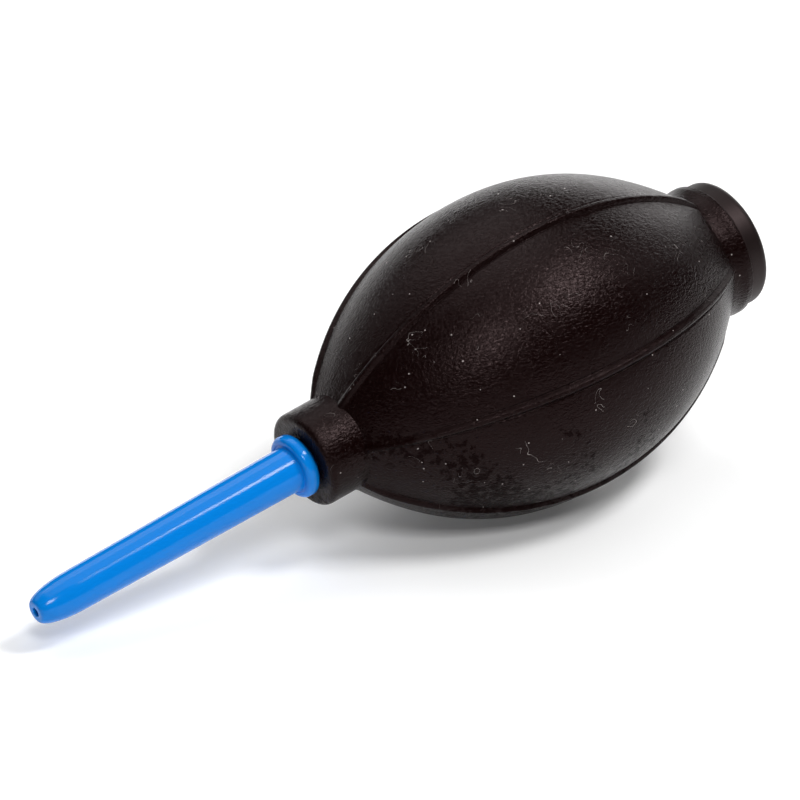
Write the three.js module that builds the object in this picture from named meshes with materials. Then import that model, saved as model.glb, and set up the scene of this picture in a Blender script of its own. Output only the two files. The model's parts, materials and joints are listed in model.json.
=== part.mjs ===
// Hand-squeezed dust blower: a hollow rubber bulb with a plastic nozzle in front and a one-way air inlet at
// the rear. Millimetres, +Z up. The blower lies on its belly with the nozzle towards -X, its nose a little
// lower than its tail. Every piece is drawn about the blower's own axis, with x = 0 where the neck meets
// the belly and x growing rearwards, and the whole blower is then turned and lowered to the way it lies.

import * as THREE from 'three';

// ---- Driving dimensions ----

// Belly: an egg drawn by two arcs that meet at its fattest place, with six raised ribs and a bulging panel
// between each two.
const bellyRadius = 27.4;         // at the foot of a rib, at the fattest place
const bellyFrontLength = 41.7;    // from the neck to the fattest place
const bellyRearLength = 37.9;     // from the fattest place to the collar
const bellyWall = 2.2;
const ribCount = 6;
const ribHeight = 0.6;
const ribHalfWidth = 1.2;
const panelBulge = 1.2;           // how far a panel stands out beyond the arcs, at the fattest place
const throatGap = 0.7;            // how much wider than the neck's bore the belly's front opening is

// How the belly lies: each panel has two flats beside its ribs, and one of them is on the ground.
const lieRoll = 18.6;             // degrees that the top rib leans towards -Y
const flatShare = 0.79;           // how much of the way to the panel's middle a flat reaches
const arcStep = 12;               // degrees of arc between two rings of the belly
const firstArcAngle = 3.4;        // degrees from the fattest place to the nearest ring in front of it

// Neck
const neckBoreRadius = 4.5;
const neckWall = 4.1;
const neckLength = 7.3;
const neckEdgeRadius = 1.0;
const neckStep = 0.2;             // how much thinner than the neck the belly starts
const neckDroop = 2.2;            // degrees that the soft neck sags under the nozzle

// Nozzle
const nozzleLength = 53.3;        // from the flange to the tip
const nozzleRootRadius = 4.05;
const nozzleTipRadius = 3.6;      // where the rounded end begins
const nozzleEndLength = 8.4;        // the rounded end
const nozzleFaceRadius = 1.65;    // the small flat at the tip
const outletRadius = 0.8;
const outletLength = 4;
const nozzleBoreRadius = 2.3;
const flangeOverlap = 1.2;        // how far the flange covers the neck's front face beyond the bore
const flangeThickness = 2.5;
const spigotReach = 2.4;          // how far the spigot comes out of the neck, into the belly
const spigotRingLength = 1.6;
const spigotRingHeight = 0.3;

// Collar
const collarLength = 4.6;
const collarWall = 4.1;           // rubber round the valve's barrel, at the lip
const collarWaistDepth = 0.4;     // how much thinner than the lip the collar is in front of it
const shoulderHeight = 0.8;       // how far the belly's rear end stands out beyond the lip
const collarLipLength = 1.2;

// Valve body: the foot disc with its barrel
const footSetIn = 0.6;            // how much smaller than the collar's lip the foot is
const footThickness = 4.0;
const footEdgeRadius = 1.2;
const barrelWall = 1.8;
const barrelLength = 10;
const inletRadius = 1.5;
const inletMouthRadius = 2.1;
const seatWidth = 0.8;
const seatHeight = 0.6;
const seatDepth = 1.2;            // how far the chamber's floor lies in front of the foot disc

// Valve disc and cage
const discRadius = 4.8;
const discThickness = 0.8;
const discTravel = 1.0;
const discSideGap = 1.4;          // between the disc and the wall of its chamber, where the air passes
const cageThickness = 1.5;
const cageRim = 1.1;
const cageBarWidth = 1.2;
const cageWindows = 4;

// Clearances
const fitClearance = 0.3;         // between two pieces that touch
const neckClearance = 0.7;        // between the belly and the neck, which can sag
const ringSegments = 36;          // facets round each small turned piece

// ---- Sizes that follow ----

const degrees = Math.PI / 180;
const bellyLength = bellyFrontLength + bellyRearLength;

const neckRadius = neckBoreRadius + neckWall;
const throatRadius = neckBoreRadius + throatGap;
const bellyFrontEndRadius = neckRadius - neckStep;
const flangeRadius = neckBoreRadius + flangeOverlap;

const chamberRadius = discRadius + discSideGap;
const barrelRadius = chamberRadius + barrelWall;
const collarBoreRadius = barrelRadius + fitClearance;
const collarLipRadius = collarBoreRadius + collarWall;
const collarWaistRadius = collarLipRadius - collarWaistDepth;
const bellyRearEndRadius = collarLipRadius + shoulderHeight;
const footRadius = collarLipRadius - footSetIn;

const panelAngle = 360 / ribCount;
const flatHalfAngle = flatShare * (panelAngle / 2 - lieRoll);

// ---- Helpers ----

const point = (x, radius) => new THREE.Vector2(radius, x);

// Points on an arc of the (x, radius) plane, from one angle to another, both in degrees, measured from the
// radius direction towards the front.
function arc(centreX, centreRadius, arcRadius, angles) {
  return angles.map((angle) => point(
    centreX - arcRadius * Math.sin(angle * degrees),
    centreRadius + arcRadius * Math.cos(angle * degrees),
  ));
}

// Evenly spaced numbers from first to last, both included.
function evenly(first, last, steps) {
  return Array.from({ length: steps + 1 }, (_, i) => first + (last - first) * i / steps);
}

// A closed outline turned round the blower's axis. The outline runs rearwards along its outer side.
function turned(outline, segments = ringSegments) {
  const geometry = new THREE.LatheGeometry([...outline, outline[0].clone()], segments);
  geometry.rotateZ(-Math.PI / 2);
  return geometry;
}

function piece(name, geometry, color, roughness) {
  const mesh = new THREE.Mesh(geometry, new THREE.MeshStandardMaterial({ color, roughness, metalness: 0 }));
  mesh.name = name;
  return mesh;
}

const rubber = { color: 0x1d1817, roughness: 0.6 };
const satinBlack = { color: 0x141313, roughness: 0.4 };
const glossBlue = { color: 0x0a7fe0, roughness: 0.2 };
const clearSilicone = { color: 0xc9c4ba, roughness: 0.5 };

// ---- Belly ----

// An arc that is level at the fattest place and comes down to endRadius after length.
function meridianArc(length, endRadius) {
  const drop = bellyRadius - endRadius;
  const radius = (length ** 2 + drop ** 2) / (2 * drop);
  return { radius, centre: bellyRadius - radius, endAngle: Math.asin(length / radius) / degrees };
}

const frontArc = meridianArc(bellyFrontLength, bellyFrontEndRadius);
const rearArc = meridianArc(bellyRearLength, bellyRearEndRadius);

// Angles of the belly's rings in front of its fattest place and behind it, without those at the two ends.
function ringAngles(first, end) {
  const angles = [];
  for (let angle = first; angle < end - arcStep / 3; angle += arcStep) {
    angles.push(angle);
  }
  return angles;
}

// One side of the belly's wall, from its front end to its rear end, set in from the outside by inset.
function bellySide(inset, frontEnd, rearEnd) {
  const frontRings = ringAngles(firstArcAngle, frontEnd);
  const rearRings = ringAngles(arcStep - firstArcAngle, rearEnd);
  return [
    ...arc(bellyFrontLength, frontArc.centre, frontArc.radius - inset, [frontEnd, ...frontRings.reverse()]),
    ...arc(
      bellyFrontLength, rearArc.centre, rearArc.radius - inset,
      [...rearRings, rearEnd].map((angle) => -angle),
    ),
  ];
}

const innerFrontEnd = Math.acos((throatRadius - frontArc.centre) / (frontArc.radius - bellyWall)) / degrees;
const innerRearEnd = Math.asin(bellyRearLength / (rearArc.radius - bellyWall)) / degrees;
const outerSide = bellySide(0, frontArc.endAngle, rearArc.endAngle);
const innerSide = bellySide(bellyWall, innerFrontEnd, innerRearEnd);
const bellyOutline = [...outerSide, ...innerSide.reverse(), point(0, throatRadius)];

// Angles round one panel, from the crest of one rib to the last point before the next.
function panelAngles() {
  const ribHalf = ribHalfWidth / bellyRadius / degrees;
  const half = [ribHalf, lieRoll - flatHalfAngle, lieRoll + flatHalfAngle];
  return [0, ...half, ...half.map((angle) => panelAngle - angle).reverse()];
}

// How full a panel or a rib is at x: nothing at the belly's two ends, and whole in its middle.
const fullness = (x) => Math.sin(Math.PI * THREE.MathUtils.clamp(x / bellyLength, 0, 1));

// How far a point of the belly stands out beyond the arcs. Place 0 is a rib's crest, and its two neighbours
// are its feet.
function lift(place, lastPlace, x, isOuter) {
  if (place === 0) {
    return isOuter ? ribHeight * Math.sqrt(fullness(x)) : 0;
  }
  if (place === 1 || place === lastPlace) {
    return 0;
  }
  return panelBulge * fullness(x);
}

// The belly is turned first, and its rings are then shaped: crests are lifted into ribs, and the rest into
// panels.
function bellyGeometry() {
  const angles = panelAngles();
  const geometry = turned(bellyOutline, angles.length * ribCount);
  const position = geometry.getAttribute('position');
  const pointsPerColumn = bellyOutline.length + 1;
  for (let i = 0; i < position.count; i++) {
    const column = Math.floor(i / pointsPerColumn) % (angles.length * ribCount);
    const row = i % pointsPerColumn;
    const isOuter = row < outerSide.length || row === bellyOutline.length;
    const place = column % angles.length;
    const angle = (angles[place] + Math.floor(column / angles.length) * panelAngle) * degrees;
    const x = position.getX(i);
    const onArcs = Math.hypot(position.getY(i), position.getZ(i));
    const radius = onArcs + lift(place, angles.length - 1, x, isOuter);
    position.setXYZ(i, x, -radius * Math.sin(angle), radius * Math.cos(angle));
  }
  geometry.computeVertexNormals();
  return geometry;
}

// The blower lies on the flat between the belly's first two rings in front of the fattest place.
const [lyingRear, lyingFront] = [...outerSide].reverse().filter((p) => p.y < bellyFrontLength);
const lyingRise = lyingRear.x + panelBulge * fullness(lyingRear.y)
  - lyingFront.x - panelBulge * fullness(lyingFront.y);
const lieTilt = Math.atan2(lyingRise, lyingRear.y - lyingFront.y) / degrees;

// ---- Neck and nozzle, along the neck's own axis ----

const quarter = evenly(0, 90, 4);

function neckOutline() {
  const front = -neckLength;
  const edge = arc(
    front + neckEdgeRadius, neckRadius - neckEdgeRadius, neckEdgeRadius, [...quarter].reverse(),
  );
  return [
    point(front, neckBoreRadius),
    ...edge,
    point(-neckClearance, neckRadius),
    point(-neckClearance, neckBoreRadius),
  ];
}

function nozzleOutline() {
  const flangeRear = -neckLength - fitClearance;
  const flangeFront = flangeRear - flangeThickness;
  const tip = flangeFront - nozzleLength;
  const endStart = tip + nozzleEndLength;
  const rim = flangeThickness / 2;
  // The rounded end is a quarter of an ellipse from the barrel to the small flat at the tip.
  const roundedEnd = evenly(90, 0, 6).map((angle) => point(
    endStart - nozzleEndLength * Math.sin(angle * degrees),
    nozzleFaceRadius + (nozzleTipRadius - nozzleFaceRadius) * Math.cos(angle * degrees),
  ));
  const spigotRadius = neckBoreRadius - fitClearance - spigotRingHeight;
  const spigotEnd = spigotReach;
  const ringFront = spigotEnd - spigotRingLength;
  return [
    point(tip, outletRadius),
    ...roundedEnd,
    point(flangeFront, nozzleRootRadius),
    ...arc(flangeRear - rim, flangeRadius - rim, rim, evenly(90, -90, 6)),
    point(flangeRear, spigotRadius),
    point(ringFront, spigotRadius),
    point(ringFront, spigotRadius + spigotRingHeight),
    point(spigotEnd, spigotRadius),
    point(spigotEnd, nozzleBoreRadius),
    point(tip + outletLength + nozzleBoreRadius, nozzleBoreRadius),
    point(tip + outletLength, outletRadius),
  ];
}

// ---- Collar and valve ----

const collarFront = bellyLength + fitClearance;
const lipFace = bellyLength + collarLength;
const footFront = lipFace + fitClearance;
const footRear = footFront + footThickness;
const chamberFloor = footFront - seatDepth;
const seatTop = chamberFloor - seatHeight;
const discRear = seatTop - fitClearance;
const cageRear = discRear - discThickness - discTravel - fitClearance;

function collarOutline() {
  const lipRound = collarLipLength / 2;
  return [
    point(collarFront, collarBoreRadius),
    point(collarFront, collarWaistRadius),
    point(lipFace - collarLipLength - collarWaistDepth, collarWaistRadius),
    ...arc(lipFace - lipRound, collarLipRadius - lipRound, lipRound, evenly(60, -90, 5)),
    point(lipFace, collarBoreRadius),
  ];
}

function valveBodyOutline() {
  const barrelEnd = footFront - barrelLength;
  const edge = arc(
    footRear - footEdgeRadius, footRadius - footEdgeRadius, footEdgeRadius, quarter.map((a) => -a),
  );
  const mouthDepth = inletMouthRadius - inletRadius;
  return [
    point(barrelEnd, chamberRadius),
    point(barrelEnd, barrelRadius),
    point(footFront, barrelRadius),
    point(footFront, footRadius - footEdgeRadius / 2),
    point(footFront + footEdgeRadius / 2, footRadius),
    ...edge,
    point(footRear, inletMouthRadius),
    point(footRear - mouthDepth, inletRadius),
    point(seatTop, inletRadius),
    point(seatTop, inletRadius + seatWidth),
    point(chamberFloor, inletRadius + seatWidth),
    point(chamberFloor, chamberRadius),
  ];
}

// A thin round disc, turned from an outline that starts and ends on the axis.
function discGeometry() {
  const front = discRear - discThickness;
  const outline = [point(front, 0), point(front, discRadius), point(discRear, discRadius), point(discRear, 0)];
  const geometry = new THREE.LatheGeometry(outline, ringSegments);
  geometry.rotateZ(-Math.PI / 2);
  return geometry;
}

// A ring with a cross of bars: a round plate with one window between each two bars.
function cageGeometry() {
  const outer = chamberRadius - fitClearance;
  const inner = outer - cageRim;
  const plate = new THREE.Shape().absarc(0, 0, outer, 0, 2 * Math.PI);
  const windowTurn = 2 * Math.PI / cageWindows;
  const half = cageBarWidth / 2;
  const sideAngle = Math.asin(half / inner);
  const cornerReach = half / Math.sin(windowTurn / 2);
  for (let i = 0; i < cageWindows; i++) {
    const start = i * windowTurn;
    const middle = start + windowTurn / 2;
    const window = new THREE.Path();
    window.moveTo(cornerReach * Math.cos(middle), cornerReach * Math.sin(middle));
    window.absarc(0, 0, inner, start + sideAngle, start + windowTurn - sideAngle);
    window.closePath();
    plate.holes.push(window);
  }
  const solid = { depth: cageThickness, bevelEnabled: false, curveSegments: 8 };
  const geometry = new THREE.ExtrudeGeometry(plate, solid);
  geometry.rotateY(Math.PI / 2);
  geometry.translate(cageRear - cageThickness, 0, 0);
  return geometry;
}

// ---- Assembly ----

const front = new THREE.Group();
front.add(piece('bulb_neck', turned(neckOutline()), rubber.color, rubber.roughness));
front.add(piece('nozzle', turned(nozzleOutline()), glossBlue.color, glossBlue.roughness));

const rear = new THREE.Group();
rear.add(piece('bulb_collar', turned(collarOutline()), rubber.color, rubber.roughness));
rear.add(piece('valve_body', turned(valveBodyOutline()), satinBlack.color, satinBlack.roughness));
rear.add(piece('valve_disc', discGeometry(), clearSilicone.color, clearSilicone.roughness));
rear.add(piece('valve_cage', cageGeometry(), satinBlack.color, satinBlack.roughness));

const rolled = new THREE.Group();
rolled.rotation.x = lieRoll * degrees;
rolled.add(piece('bulb_belly', bellyGeometry(), rubber.color, rubber.roughness));
rolled.add(rear);

front.rotation.y = -neckDroop * degrees;

const blower = new THREE.Group();
blower.rotation.y = -lieTilt * degrees;
blower.add(rolled, front);

// The origin is at the middle of the blower's box, on the ground that it lies on.
const box = new THREE.Box3().setFromObject(blower, true);
const centre = box.getCenter(new THREE.Vector3());
blower.position.set(-centre.x, -centre.y, -box.min.z);

export default blower;
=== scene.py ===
# %% [markdown]
# # A rubber dust blower, dressed in Blender
#
# The object is a hand-squeezed air blower: an egg-shaped rubber bulb with six raised ribs, a short neck
# that holds a glossy blue nozzle, and a collar at the rear that grips a black valve body with a smooth
# foot disc. The frame holds the real sizes and the joints. This script builds the fine surfaces round it
# and gives each one its finish.

# %% Load the frame
import json

import bpy
import numpy as np
from mathutils import Matrix, Vector


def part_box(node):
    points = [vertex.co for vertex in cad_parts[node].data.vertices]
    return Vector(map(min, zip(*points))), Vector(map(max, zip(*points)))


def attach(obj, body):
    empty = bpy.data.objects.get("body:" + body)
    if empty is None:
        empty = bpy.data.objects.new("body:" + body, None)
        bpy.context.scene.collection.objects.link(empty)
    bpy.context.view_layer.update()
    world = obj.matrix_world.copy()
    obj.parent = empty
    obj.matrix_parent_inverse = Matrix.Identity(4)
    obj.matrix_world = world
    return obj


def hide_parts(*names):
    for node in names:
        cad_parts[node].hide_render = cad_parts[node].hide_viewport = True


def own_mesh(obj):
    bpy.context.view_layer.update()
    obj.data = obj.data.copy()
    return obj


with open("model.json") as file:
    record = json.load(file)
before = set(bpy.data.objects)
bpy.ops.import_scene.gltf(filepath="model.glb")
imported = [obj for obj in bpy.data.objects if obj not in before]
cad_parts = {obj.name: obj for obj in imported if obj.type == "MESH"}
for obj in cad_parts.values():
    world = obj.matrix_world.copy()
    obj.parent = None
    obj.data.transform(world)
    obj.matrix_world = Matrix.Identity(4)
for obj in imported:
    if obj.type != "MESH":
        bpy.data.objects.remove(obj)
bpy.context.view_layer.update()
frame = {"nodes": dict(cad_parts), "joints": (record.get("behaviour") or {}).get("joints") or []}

# %% [markdown]
# ## Where the blower lies
#
# Every piece is turned round one of two lines: the bulb's own axis, or the neck's axis, which sags a
# little under the nozzle. Both directions are joint axes of the frame. A point of each piece is given as
# a distance along its axis, a radius and an angle, so one small function can place all of them.

# %% Axes and the placing function
MM = 0.001
JOINTS = {joint["name"]: joint for joint in frame["joints"]}
SIDE = np.array([0.0, 1.0, 0.0])          # both axes lie in the plane y = 0

BULB_AXIS = -np.array(JOINTS["squeeze"]["axis"])    # from the neck to the foot
NECK_AXIS = -np.array(JOINTS["nozzle_pull"]["axis"])
DISC_MIDDLE = 82.0             # mm from the neck's root to the middle of the valve disc


def middle(node):
    """The middle of a node's box, in metres."""
    low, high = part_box(node)
    return np.array((low + high) / 2)


ROOT = middle("valve_disc") - DISC_MIDDLE * MM * BULB_AXIS    # on the axis, where the neck meets the belly


def placed(x, radius, angle, axis=BULB_AXIS):
    """Points at x mm along an axis, at a radius in mm and at an angle in radians that runs from the top
    towards -Y."""
    up = np.cross(axis, SIDE)
    away = -np.sin(angle)[..., None] * SIDE + np.cos(angle)[..., None] * up
    return ROOT + MM * (x[..., None] * axis + radius[..., None] * away)


print("root of the neck, mm:", (ROOT * 1000).round(2))

# %% [markdown]
# ## Turning a table of points into a mesh
#
# A surface is a grid: its rows follow an outline, its columns go round the axis. The outlines of hollow
# pieces run rearwards on the outside and come back on the inside, so the last row joins the first, and
# the mesh is closed like a ring. Corners get real fillets, because a real moulding has no edge without
# one, and a fillet is what catches the light.

# %% Grid to mesh, and outlines with round corners


def grid_surface(name, points):
    """A closed mesh from points[row, column]: rows and columns both wrap round, and each face joins four
    neighbours."""
    rows, columns = points.shape[:2]
    index = np.arange(rows * columns).reshape(rows, columns)
    right = np.roll(index, -1, axis=1)
    below = np.roll(index, -1, axis=0)
    both = np.roll(right, -1, axis=0)
    faces = np.stack([index, right, both, below], axis=-1).reshape(-1, 4)
    return mesh_object(name, points.reshape(-1, 3), faces)


def mesh_object(name, vertices, faces):
    """A smooth-shaded object from arrays of vertices and of four-sided faces."""
    mesh = bpy.data.meshes.new(name)
    mesh.vertices.add(len(vertices))
    mesh.vertices.foreach_set("co", vertices.astype(np.float32).ravel())
    mesh.loops.add(faces.size)
    mesh.loops.foreach_set("vertex_index", faces.astype(np.int32).ravel())
    mesh.polygons.add(len(faces))
    mesh.polygons.foreach_set("loop_start", np.arange(0, faces.size, 4, dtype=np.int32))
    mesh.polygons.foreach_set("use_smooth", np.ones(len(faces), dtype=bool))
    mesh.update(calc_edges=True)
    mesh.validate()
    thing = bpy.data.objects.new(name, mesh)
    bpy.context.scene.collection.objects.link(thing)
    return thing


ALMOST_STRAIGHT = 1.55         # half the angle of a corner, in radians, past which it gets no fillet


def rounded_outline(corners, spacing, arc_steps=6):
    """A closed outline through corners (x, radius, fillet), all in mm. Each corner is cut back along its two
    sides by fillet / tan(half its angle), and an arc of that fillet joins the cuts. Long sides get points
    every spacing mm."""
    places = np.array([corner[:2] for corner in corners], dtype=float)
    pieces = []
    for i, (x, radius, fillet) in enumerate(corners):
        here = places[i]
        back = places[i - 1] - here
        ahead = places[(i + 1) % len(corners)] - here
        back, ahead = back / np.linalg.norm(back), ahead / np.linalg.norm(ahead)
        half = np.arccos(np.clip(back @ ahead, -1, 1)) / 2
        if fillet == 0 or half > ALMOST_STRAIGHT:
            pieces.append(here[None])
            continue
        bisector = (back + ahead) / np.linalg.norm(back + ahead)
        centre = here + bisector * fillet / np.sin(half)
        cut = fillet / np.tan(half)
        start, end = here + back * cut, here + ahead * cut
        turn = np.linspace(0, 1, arc_steps + 1)[:, None]
        spread = np.pi - 2 * half
        from_start = np.sin((1 - turn) * spread) * (start - centre)
        from_end = np.sin(turn * spread) * (end - centre)
        pieces.append(centre + (from_start + from_end) / np.sin(spread))
    outline = []
    for piece, following in zip(pieces, pieces[1:] + pieces[:1]):
        gap = np.linalg.norm(following[0] - piece[-1])
        steps = max(1, int(round(gap / spacing)))
        between = np.linspace(piece[-1], following[0], steps, endpoint=False)[1:]
        outline.append(np.vstack([piece, between]))
    return np.vstack(outline)


def turned(name, outline, columns=128, axis=BULB_AXIS):
    """A piece turned round an axis: the same outline at every angle."""
    angle = np.linspace(0, 2 * np.pi, columns, endpoint=False)
    x, angle = np.meshgrid(outline[:, 0], angle, indexing="ij")
    radius = np.repeat(outline[:, 1][:, None], columns, axis=1)
    return grid_surface(name, placed(x, radius, angle, axis))

# %% [markdown]
# ## The belly
#
# The rubber is moulded in six panels with a thin raised rib along each seam, as on a ball sewn from six
# strips. Seen from the side the wall follows two arcs that meet at the fattest place. Each panel swells
# outwards in the middle and goes flatter towards the two ends, where the section is half way to a hexagon.
# All of that is one formula for the radius, so the belly is made as a grid rather than modelled by hand,
# with most of its columns crowded round the six ribs, where the detail is.

# %% Belly sizes, mm
BELLY_RADIUS = 27.4            # at the foot of a rib, at the fattest place
FRONT_LENGTH = 41.7            # from the neck to the fattest place
REAR_LENGTH = 37.9             # from the fattest place to the collar
FRONT_END, REAR_END = 8.4, 13.2
WALL = 2.2
RIBS = 6
RIB_HEIGHT = 0.75
RIB_HALF_WIDTH = 0.58
GROOVE_DEPTH = 0.22            # of the sharp crease at each foot of a rib
GROOVE_HALF_WIDTH = 0.17
GROOVE_OUT = 0.32              # from the rib's half width to the crease's middle
RIB_START = 0.35               # share of its height that a rib has at the belly's ends
RIB_GROWTH = 6                 # how fast it then reaches the whole
PANEL_BULGE = 1.0
END_FLATNESS = 0.55            # how much of a true hexagon the two ends are
LIE_ROLL = np.radians(18.6)    # the top rib leans this far towards -Y
BELLY_LENGTH = FRONT_LENGTH + REAR_LENGTH
PANEL = 2 * np.pi / RIBS


def meridian(x, inset=0.0):
    """Radius of the belly's arcs at x, less a wall of inset. Each arc is level at the fattest place and comes
    down to its end radius; its own radius is (length squared + drop squared) / (2 drop)."""
    length = np.where(x < FRONT_LENGTH, FRONT_LENGTH, REAR_LENGTH)
    drop = BELLY_RADIUS - np.where(x < FRONT_LENGTH, FRONT_END, REAR_END)
    arc = (length ** 2 + drop ** 2) / (2 * drop)
    return BELLY_RADIUS - arc + np.sqrt((arc - inset) ** 2 - (x - FRONT_LENGTH) ** 2)


def belly_radius(x, angle, inset=0.0):
    """The belly's radius at x and at an angle from the top rib. Between ribs it swells by a cosine, times a
    sine along the length; towards the ends it is cut in to the side of a hexagon. Over each rib it rises by a
    round-topped welt, height / (1 + (distance / half width) to the fourth), with a bell-shaped crease at
    either foot. Without an inset it is the outer side, which alone has the ribs."""
    share = np.clip(x / BELLY_LENGTH, 0, 1)
    along = np.sin(np.pi * share)
    across = np.mod(angle, PANEL) - PANEL / 2
    hexagon = 1 - np.cos(PANEL / 2) / np.cos(across)
    base = meridian(x, inset)
    swell = PANEL_BULGE * along * np.cos(across * RIBS / 2)
    flat = base * hexagon * END_FLATNESS * (1 - along) ** 2
    if inset:
        return base + swell - flat
    from_rib = (PANEL / 2 - np.abs(across)) * base
    strength = np.minimum(1, RIB_GROWTH * along + RIB_START)
    welt = RIB_HEIGHT / (1 + (from_rib / RIB_HALF_WIDTH) ** 4)
    from_crease = from_rib - RIB_HALF_WIDTH - GROOVE_OUT
    crease = GROOVE_DEPTH * np.exp(-(from_crease / GROOVE_HALF_WIDTH) ** 2)
    return base + swell - flat + strength * (welt - crease)


# %% Belly mesh
COLUMNS_PER_PANEL = 66
COLUMN_PLACES = [(0, 0), (4, 0.36), (16, 1.15), (20, 2.0), (33, 14.35)]    # column, mm from the rib
INNER_REAR, INNER_FRONT = BELLY_LENGTH - 0.4, 1.6      # where the inner side starts and stops


def belly_angles():
    """Angles from the top rib. The columns crowd round each rib, as COLUMN_PLACES says for the fattest place,
    and mirror in the panel's middle."""
    count, distance = np.array(COLUMN_PLACES, dtype=float).T
    column = np.arange(COLUMNS_PER_PANEL // 2 + 1)
    half = np.interp(column, count, distance / distance[-1]) * PANEL / 2
    panel = np.concatenate([half, PANEL - half[-2:0:-1]])
    return (np.arange(RIBS)[:, None] * PANEL + panel).ravel()


def make_belly(outer_rows=210, inner_rows=34):
    """The hollow belly: the outer side from neck to collar, then the inner side back."""
    outer = BELLY_LENGTH * 0.5 * (1 - np.cos(np.linspace(0.0, np.pi, outer_rows)))
    inner = np.linspace(INNER_REAR, INNER_FRONT, inner_rows)
    angle = belly_angles()
    outer_x, outer_angle = np.meshgrid(outer, angle, indexing="ij")
    inner_x, inner_angle = np.meshgrid(inner, angle, indexing="ij")
    x = np.vstack([outer_x, inner_x])
    turn = np.vstack([outer_angle, inner_angle])
    outer_radius = belly_radius(outer_x, outer_angle)
    inner_radius = belly_radius(inner_x, inner_angle, WALL)
    radius = np.vstack([outer_radius, inner_radius])
    points = placed(x, radius, turn + LIE_ROLL)
    points[..., 2] = np.maximum(points[..., 2], 0)      # the rubber goes flat where it rests on the ground
    return grid_surface("belly", points)


belly = make_belly()
widest = belly_radius(FRONT_LENGTH, PANEL / 2)
print("belly:", len(belly.data.vertices), "points, radius up to", round(widest, 2), "mm")

# %% [markdown]
# ## Neck and collar
#
# The neck and the collar are the two ends of the same moulding. They are pieces of their own, because the
# belly gives when it is squeezed and they don't. Each one runs on inside the belly, so that no gap opens
# behind it when the belly gets thinner. The neck's front edge is well rounded; the collar has a slight
# waist and a crisp lip.

# %% Neck and collar sizes and meshes, mm
NECK_RADIUS = 8.6
NECK_LENGTH = 7.3
NECK_BORE = 4.5
NECK_INSIDE = 7.0              # how far the neck runs on inside the belly
COLLAR_LENGTH = 4.6
LIP_FACE = BELLY_LENGTH + COLLAR_LENGTH
LIP_RADIUS = 12.4
WAIST_RADIUS = 12.0
COLLAR_BORE = 8.3
COLLAR_INSIDE = 7.0

neck_outline = rounded_outline([
    (-NECK_LENGTH, NECK_BORE, 0.3),
    (-NECK_LENGTH, NECK_RADIUS, 1.1),
    (NECK_INSIDE, NECK_RADIUS, 0.8),
    (NECK_INSIDE, NECK_BORE + 1.2, 0.3),
    (1.0, NECK_BORE, 0.3),
], spacing=0.35)
neck = turned("neck", neck_outline, columns=160, axis=NECK_AXIS)

collar_outline = rounded_outline([
    (BELLY_LENGTH - COLLAR_INSIDE, COLLAR_BORE + 2.0, 0.3),
    (BELLY_LENGTH - COLLAR_INSIDE, WAIST_RADIUS, 0.8),
    (BELLY_LENGTH + 1.8, WAIST_RADIUS, 6.0),
    (LIP_FACE - 1.1, LIP_RADIUS, 0.5),
    (LIP_FACE, LIP_RADIUS, 0.15),
    (LIP_FACE, COLLAR_BORE + 0.4, 0.3),
    (LIP_FACE - 1.0, COLLAR_BORE, 0.3),
    (BELLY_LENGTH - COLLAR_INSIDE + 2.0, COLLAR_BORE, 0.3),
], spacing=0.35)
collar = turned("collar", collar_outline, columns=200)
print("neck and collar:", len(neck.data.vertices), len(collar.data.vertices), "points")

# %% [markdown]
# ## The nozzle
#
# One glossy injection moulding: a barrel that tapers a little, a bullet-shaped end with a small flat and
# the outlet hole, and a flange with a well rounded rim that stops against the neck. The spigot behind
# the flange sits inside the neck.

# %% Nozzle
CLEARANCE = 0.3                # between pieces that touch in the real object
FLANGE_REAR = -NECK_LENGTH - CLEARANCE
FLANGE_THICKNESS = 2.5
FLANGE_RADIUS = 5.7
NOZZLE_LENGTH = 53.3
NOZZLE_TIP = FLANGE_REAR - FLANGE_THICKNESS - NOZZLE_LENGTH
NOZZLE_ROOT_RADIUS, NOZZLE_END_RADIUS, TIP_FACE_RADIUS = 4.05, 3.6, 1.65
BULLET_LENGTH = 8.4
OUTLET_RADIUS, BORE_RADIUS = 0.8, 2.3
SPIGOT_RADIUS, SPIGOT_LENGTH = 3.9, 10.0


def bullet(steps=24):
    """The rounded end as a quarter of an ellipse, from just behind the tip's flat to the barrel."""
    angle = np.linspace(0.47 * np.pi, 0, steps)
    x = NOZZLE_TIP + BULLET_LENGTH * (1 - np.sin(angle))
    return x, TIP_FACE_RADIUS + (NOZZLE_END_RADIUS - TIP_FACE_RADIUS) * np.cos(angle)


flange_front = FLANGE_REAR - FLANGE_THICKNESS
spigot_end = FLANGE_REAR + SPIGOT_LENGTH
nozzle_outline = rounded_outline([
    (NOZZLE_TIP, OUTLET_RADIUS, 0.12),
    (NOZZLE_TIP, TIP_FACE_RADIUS, 0.2),
    *[(x, radius, 0) for x, radius in zip(*bullet())],
    (flange_front + 0.15, NOZZLE_ROOT_RADIUS, 0.12),
    (flange_front + 0.15, NOZZLE_ROOT_RADIUS + 0.35, 0.1),
    (flange_front, NOZZLE_ROOT_RADIUS + 0.45, 0.1),
    (flange_front, FLANGE_RADIUS, 0.95),
    (FLANGE_REAR, FLANGE_RADIUS, 0.95),
    (FLANGE_REAR, SPIGOT_RADIUS, 0.2),
    (spigot_end - 2.6, SPIGOT_RADIUS, 0.2),
    (spigot_end - 1.6, SPIGOT_RADIUS + 0.3, 0.15),
    (spigot_end, SPIGOT_RADIUS - 0.2, 0.2),
    (spigot_end, BORE_RADIUS, 0.2),
    (NOZZLE_TIP + 6.3, BORE_RADIUS, 0.5),
    (NOZZLE_TIP + 4.0, OUTLET_RADIUS, 0.5),
], spacing=0.7)
nozzle = turned("blue_nozzle", nozzle_outline, columns=128, axis=NECK_AXIS)
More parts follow.
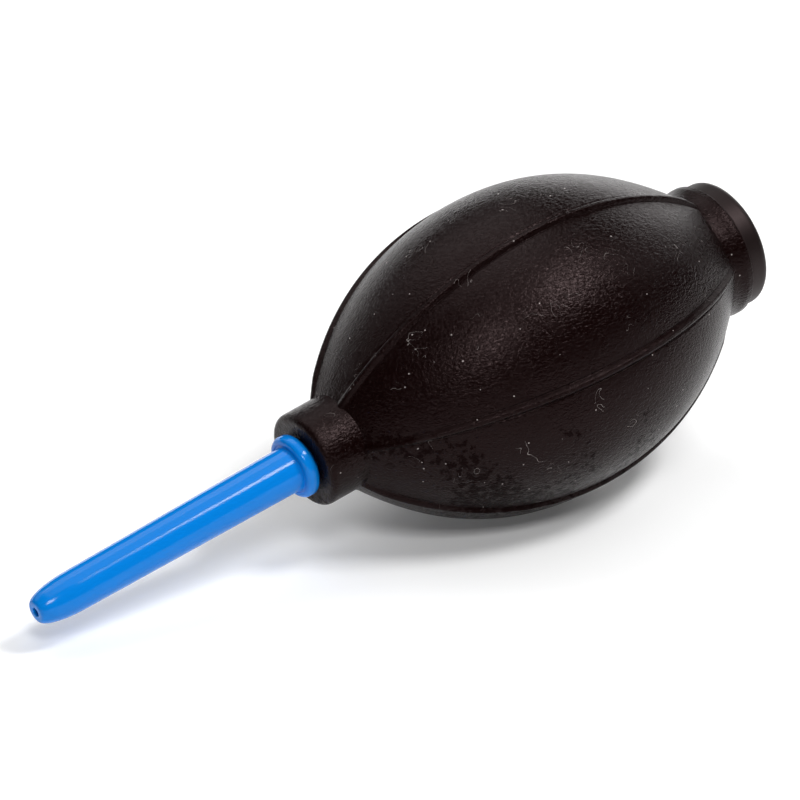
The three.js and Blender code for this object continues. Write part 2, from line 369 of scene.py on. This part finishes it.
print("nozzle:", len(nozzle.data.vertices), "points, tip at", round(NOZZLE_TIP, 1), "mm")

# %% [markdown]
# ## The inlet valve
#
# The smooth black foot closes the collar and carries the valve: a barrel with two grip rings, an air hole
# through the foot, and a raised seat. The thin disc and the small cage in front of the seat stay as the
# frame has them.

# %% Valve body
FOOT_FRONT = LIP_FACE + CLEARANCE
FOOT_THICKNESS = 4.0
FOOT_REAR = FOOT_FRONT + FOOT_THICKNESS
FOOT_RADIUS = 11.8
BARREL_RADIUS, BARREL_LENGTH = 8.0, 10.0
BARREL_FRONT = FOOT_FRONT - BARREL_LENGTH
CHAMBER_RADIUS, CHAMBER_FLOOR = 6.2, FOOT_FRONT - 1.2
SEAT_TOP = CHAMBER_FLOOR - 0.6

foot = turned("valve_foot", rounded_outline([
    (BARREL_FRONT, CHAMBER_RADIUS, 0.2),
    (BARREL_FRONT, BARREL_RADIUS - 0.3, 0.4),
    (BARREL_FRONT + 1.2, BARREL_RADIUS, 0.2),
    (BARREL_FRONT + 2.6, BARREL_RADIUS, 0.1),
    (BARREL_FRONT + 2.6, BARREL_RADIUS - 0.35, 0.1),
    (BARREL_FRONT + 4.2, BARREL_RADIUS, 0.1),
    (FOOT_FRONT - 1.0, BARREL_RADIUS, 0.1),
    (FOOT_FRONT - 1.0, BARREL_RADIUS - 0.4, 0.1),
    (FOOT_FRONT, BARREL_RADIUS - 0.4, 0.1),
    (FOOT_FRONT, FOOT_RADIUS - 0.1, 0.3),
    (FOOT_REAR, FOOT_RADIUS, 1.3),
    (FOOT_REAR, 2.1, 0.15),
    (FOOT_REAR - 0.6, 1.5, 0.15),
    (SEAT_TOP, 1.5, 0.1),
    (SEAT_TOP, 2.3, 0.1),
    (CHAMBER_FLOOR, 2.3, 0.15),
    (CHAMBER_FLOOR, CHAMBER_RADIUS, 0.3),
], spacing=0.5), columns=180)
print("valve foot:", len(foot.data.vertices), "points")

# %% [markdown]
# ## Tying the pieces to the frame
#
# Each new piece stands for one CAD node and rides on the same body; the table also names one of the frame's
# slots for finishes.

# %% Who stands for what
STANDS_FOR = [
    (belly, "bulb_belly", "bulb", "bulb_rubber"),
    (collar, "bulb_collar", "bulb", "bulb_rubber"),
    (neck, "bulb_neck", "neck", "bulb_rubber"),
    (nozzle, "nozzle", "nozzle", "nozzle_plastic"),
    (foot, "valve_body", "valve", "foot_plastic"),
]
for piece, node, body, slot in STANDS_FOR:
    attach(piece, body)
    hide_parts(node)
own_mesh(belly)
print("replaced:", [node for _, node, _, _ in STANDS_FOR])

# %% [markdown]
# ## Finishes
#
# A finish is one Principled shader and a few textures that read Object coordinates, which are metres in
# the frame. So a texture with a scale of 2000 has a feature about every half millimetre. Small helpers
# keep the wiring short.

# %% Helpers for node trees


def finish(name, **settings):
    """A new material and its Principled node, with the given constants set on the node's own sockets."""
    material = bpy.data.materials.new(name)
    material.use_nodes = True
    principled = material.node_tree.nodes["Principled BSDF"]
    for title, value in settings.items():
        principled.inputs[title.replace("_", " ")].default_value = value
    return material, principled


def add(material, kind, links=None, **settings):
    """A node of that kind. links fills its sockets from other sockets or with constants, and settings sets
    the node's choices."""
    node = material.node_tree.nodes.new(kind)
    for title, value in settings.items():
        setattr(node, title, value)
    for title, value in (links or {}).items():
        if isinstance(value, bpy.types.NodeSocket):
            material.node_tree.links.new(value, node.inputs[title])
        else:
            node.inputs[title].default_value = value
    return node


def connect(material, source, target):
    """Wires one socket to another."""
    material.node_tree.links.new(source, target)


def ramp(material, source, *stops):
    """A colour ramp through stops, each a place and either a grey or a colour."""
    node = add(material, "ShaderNodeValToRGB", {"Fac": source})
    while len(node.color_ramp.elements) < len(stops):
        node.color_ramp.elements.new(0.5)
    for element, (place, tone) in zip(node.color_ramp.elements, stops):
        element.position = place
        element.color = (tone, tone, tone, 1) if np.isscalar(tone) else (*tone, 1)
    return node.outputs["Color"]


def along_axis(material, stretch=(1, 1, 1)):
    """Object coordinates turned so that their x runs along the bulb, then stretched."""
    place = add(material, "ShaderNodeTexCoord")
    turn = add(material, "ShaderNodeMapping", {"Vector": place.outputs["Object"]})
    turn.inputs["Rotation"].default_value = (0, np.arctan2(BULB_AXIS[2], BULB_AXIS[0]), 0)
    turn.inputs["Scale"].default_value = stretch
    return turn.outputs["Vector"]


def noise(material, where, scale, detail, **more):
    """The grey of a noise texture with that many features per metre."""
    links = {"Vector": where, "Scale": scale, "Detail": detail, **more}
    return add(material, "ShaderNodeTexNoise", links).outputs["Fac"]


def maths(material, operation, *values):
    """The result of a Math node. Each value is a socket or a constant."""
    return add(material, "ShaderNodeMath", dict(enumerate(values)), operation=operation).outputs[0]


def bump(material, height, distance, strength, under=None):
    """A bump from a height, on top of another bump where under is given. Distance is in metres."""
    links = {"Height": height, "Strength": strength, "Distance": distance}
    if under is not None:
        links["Normal"] = under
    return add(material, "ShaderNodeBump", links).outputs["Normal"]


# %% Rubber
RUBBER_DARK = (0.0036, 0.0008, 0.0007)
DUST_PALE = (0.32, 0.29, 0.28)
SPECK_REACH = 0.055            # of a speck, as a share of a cell
LINT_HALF_WIDTH = 0.0022       # of a thread, in noise values round a half
LINT_FROM = 0.71               # threads show where the slower noise is above this
SMUDGE_NONE, SMUDGE_FULL = 0.034, 0.024    # m above the ground: no smudges, and all of them


def dust_mask(material, where):
    """1 on specks and short threads of lint, 0 elsewhere. A speck is where the nearest cell point is close. A
    thread is the thin line where one noise crosses a half, kept where a slower noise is high."""
    cells = add(material, "ShaderNodeTexVoronoi", {"Vector": where, "Scale": 400.0})
    speck = maths(material, "LESS_THAN", cells.outputs["Distance"], SPECK_REACH)
    wander = noise(material, where, 260.0, 0.0, Distortion=1.5)
    line = maths(material, "COMPARE", wander, 0.5, LINT_HALF_WIDTH)
    kept = maths(material, "GREATER_THAN", noise(material, where, 170.0, 0.0), LINT_FROM)
    return maths(material, "MAXIMUM", speck, maths(material, "MULTIPLY", line, kept))


def smudge_mask(material, where):
    """High on greasy smudges: a fine noise times a slow one, kept on the low side, next to the bench."""
    grease = noise(material, where, 700.0, 4.0, Roughness=0.7)
    fingers = noise(material, where, 75.0, 0.0)
    place = add(material, "ShaderNodeTexCoord")
    height = add(material, "ShaderNodeSeparateXYZ", {0: place.outputs["Object"]})
    span = {"Value": height.outputs["Z"], "From Min": SMUDGE_NONE, "From Max": SMUDGE_FULL}
    low = add(material, "ShaderNodeMapRange", span)
    return maths(material, "MULTIPLY", maths(material, "MULTIPLY", grease, fingers), low.outputs["Result"])


def rubber_finish():
    """Warm brown-black rubber with a fine leathery skin: pebbles half a millimetre across over a slow
    waviness. Smudges take the shine off, and dust lies on top."""
    material, shader = finish("bulb rubber", Specular_Tint=(1.0, 0.72, 0.72, 1))
    here = along_axis(material)
    wear = noise(material, here, 90.0, 4.0, Roughness=0.6)
    connect(material, ramp(material, wear, (0.3, 0.22), (0.7, 0.31)), shader.inputs["Roughness"])
    shine = ramp(material, smudge_mask(material, here), (0.30, 0.125), (0.35, 0.035))
    connect(material, shine, shader.inputs["Specular IOR Level"])
    colour = ramp(material, dust_mask(material, here), (0.0, RUBBER_DARK), (1.0, DUST_PALE))
    connect(material, colour, shader.inputs["Base Color"])
    skin = noise(material, along_axis(material, (0.55, 1, 1)), 2300.0, 2.0, Distortion=0.9)
    wavy = bump(material, noise(material, here, 420.0, 2.0), 0.00010, 0.5)
    connect(material, bump(material, skin, 0.00014, 1.0, wavy), shader.inputs["Normal"])
    return material


rubber = rubber_finish()
for piece in (belly, neck, collar):
    piece.data.materials.append(rubber)
print("rubber on", [piece.name for piece in (belly, neck, collar)])

# %% Blue plastic, black plastic and silicone


def blue_finish():
    """Glossy injection-moulded plastic: a saturated blue with a very slight waviness, as a polished mould
    leaves."""
    colour = (0.0016, 0.195, 0.65, 1)
    material, shader = finish("blue plastic", Base_Color=colour, Roughness=0.13, Specular_IOR_Level=0.2)
    slow = noise(material, along_axis(material, (0.35, 1, 1)), 420.0, 1.5)
    connect(material, bump(material, slow, 0.00005, 0.25), shader.inputs["Normal"])
    return material


def black_finish():
    """Satin black plastic with an even, very fine spark-eroded texture."""
    colour, tint = (0.0030, 0.0013, 0.0012, 1), (1.0, 0.75, 0.75, 1)
    material, shader = finish("black plastic", Base_Color=colour, Roughness=0.48,
                              Specular_IOR_Level=0.28, Specular_Tint=tint)
    fine = noise(material, along_axis(material), 4200.0, 1.0)
    connect(material, bump(material, fine, 0.00002, 0.3), shader.inputs["Normal"])
    return material


def silicone_finish():
    """Milky, soft silicone with a faint mottle."""
    material, shader = finish("valve silicone", Roughness=0.5, IOR=1.42)
    mottle = noise(material, along_axis(material), 900.0, 2.0)
    tone = ramp(material, mottle, (0.3, (0.55, 0.53, 0.49)), (0.7, (0.64, 0.62, 0.58)))
    connect(material, tone, shader.inputs["Base Color"])
    return material


blue_plastic = blue_finish()
black_plastic = black_finish()
silicone = silicone_finish()
nozzle.data.materials.append(blue_plastic)
foot.data.materials.append(black_plastic)
for node, material in (("valve_cage", black_plastic), ("valve_disc", silicone)):
    thing = bpy.data.objects[frame["nodes"][node].name]
    thing.data.materials.clear()
    thing.data.materials.append(material)
print("finishes:", [material.name for material in (rubber, blue_plastic, black_plastic, silicone)])

# %% [markdown]
# ## Floor, light and camera
#
# The floor is a wide sheet of white paper that glows a little, as a light table does. The lamps leave its
# far part grey, so that part is made plain white for whoever looks at it directly, and lights nothing. A
# black glossy thing shows its shape only through what it mirrors, so the light comes from soft panels all
# round: a bright pair in front and above for the broad shine on the panel that faces the viewer, a low
# wide one behind for the pale rim, and weaker ones for the rest.

# %% Floor
FLOOR_SIZE = 6
FLOOR_DROP = 0.00002           # m, so that the floor and the flat of the rubber don't share a plane
PAPER_GLOW = 0.08
WHITE_FROM, WHITE_TO = 0.3, 0.8    # m from the middle: the paper turns plain white between these
bpy.ops.mesh.primitive_plane_add(size=FLOOR_SIZE, location=(0, 0, -FLOOR_DROP))
floor = bpy.context.object
floor.name = "floor"
floor_paper, floor_shader = finish("white paper", Base_Color=(0.95, 0.95, 0.95, 1), Roughness=0.9,
                                   Specular_IOR_Level=0.1)
floor_shader.inputs["Emission Color"].default_value = (1, 1, 1, 1)
place = add(floor_paper, "ShaderNodeTexCoord")
away = add(floor_paper, "ShaderNodeVectorMath", {0: place.outputs["Object"]}, operation="LENGTH")
span = {"Value": away.outputs["Value"], "From Min": WHITE_FROM, "From Max": WHITE_TO}
far = add(floor_paper, "ShaderNodeMapRange", span)
rays = add(floor_paper, "ShaderNodeLightPath")
glow = maths(floor_paper, "MULTIPLY_ADD", far.outputs["Result"], rays.outputs["Is Camera Ray"], PAPER_GLOW)
connect(floor_paper, glow, floor_shader.inputs["Emission Strength"])
floor.data.materials.append(floor_paper)

# %% Soft panels
AIM = Vector((0.01, 0, 0.02))      # what the panels face, near the bulb's middle
# name: compass angle from +X and height angle in degrees, then distance, width, depth in m, and brightness
PANELS = {
    "front": (-55, 58, 1.0, 0.30, 0.20, 27.0),
    "front_left": (-120, 43, 1.0, 0.26, 0.24, 20.0),
    "overhead": (0, 88, 1.0, 0.80, 0.80, 1.1),
    "backdrop": (70, 7, 1.3, 2.40, 0.30, 2.2),
    "back_right": (30, 22, 1.2, 0.80, 0.50, 2.2),
    "right": (-15, 34, 1.1, 0.50, 0.50, 1.0),
    "back_left": (120, 40, 1.1, 0.80, 0.60, 0.8),
    "back": (80, 60, 1.0, 0.70, 0.50, 2.0),
}


def soft_panel(name, compass, height, distance, width, depth, brightness):
    """A rectangular lamp that faces the blower. A lamp's watts are pi x area x brightness."""
    compass, height = np.radians(compass), np.radians(height)
    level = np.cos(height)
    place = distance * Vector((level * np.cos(compass), level * np.sin(compass), np.sin(height)))
    lamp = bpy.data.lights.new(name, "AREA")
    lamp.shape = "RECTANGLE"
    lamp.size, lamp.size_y = width, depth
    lamp.energy = np.pi * width * depth * brightness
    thing = bpy.data.objects.new(name + "_panel", lamp)
    thing.location = place
    thing.rotation_euler = (AIM - place).to_track_quat("-Z", "Y").to_euler()
    bpy.context.scene.collection.objects.link(thing)


for name, values in PANELS.items():
    soft_panel(name, *values)
print("soft panels:", len(PANELS))

# %% Surroundings
# Seen directly, the room is white; it sheds no light of its own, because the panels already stand for it.
world = bpy.data.worlds.new("surroundings")
bpy.context.scene.world = world
world.use_nodes = True
room = world.node_tree.nodes["Background"]
room.inputs["Color"].default_value = (1, 1, 1, 1)
seen = world.node_tree.nodes.new("ShaderNodeLightPath")
world.node_tree.links.new(seen.outputs["Is Camera Ray"], room.inputs["Strength"])

# %% Camera
AZIMUTH, ELEVATION = np.radians(-37.1), np.radians(23.7)
CAMERA_ROLL = 0.0065           # radians that the camera is turned about its own line of sight
EYE_RIGHT, EYE_UP, EYE_BACK = 10.98, 7.27, 853.96      # mm from the neck's root
right = np.array([np.cos(AZIMUTH), np.sin(AZIMUTH), 0])
ahead = np.array([-np.sin(AZIMUTH), np.cos(AZIMUTH), 0]) * np.cos(ELEVATION)
ahead = ahead - np.array([0, 0, np.sin(ELEVATION)])
down = np.cross(ahead, right)
eye = ROOT + MM * (EYE_RIGHT * right - EYE_UP * down - EYE_BACK * ahead)

camera_data = bpy.data.cameras.new("camera")
camera_data.lens = 225
camera_data.clip_start = 0.05
camera = bpy.data.objects.new("camera", camera_data)
facing = np.column_stack([right + CAMERA_ROLL * down, CAMERA_ROLL * right - down, -ahead])
camera.location = eye
camera.rotation_euler = Matrix(facing.tolist()).to_euler()
bpy.context.scene.collection.objects.link(camera)
bpy.context.scene.camera = camera
bpy.context.scene.view_settings.view_transform = "Standard"
print("camera at, mm:", (eye * 1000).round(1))
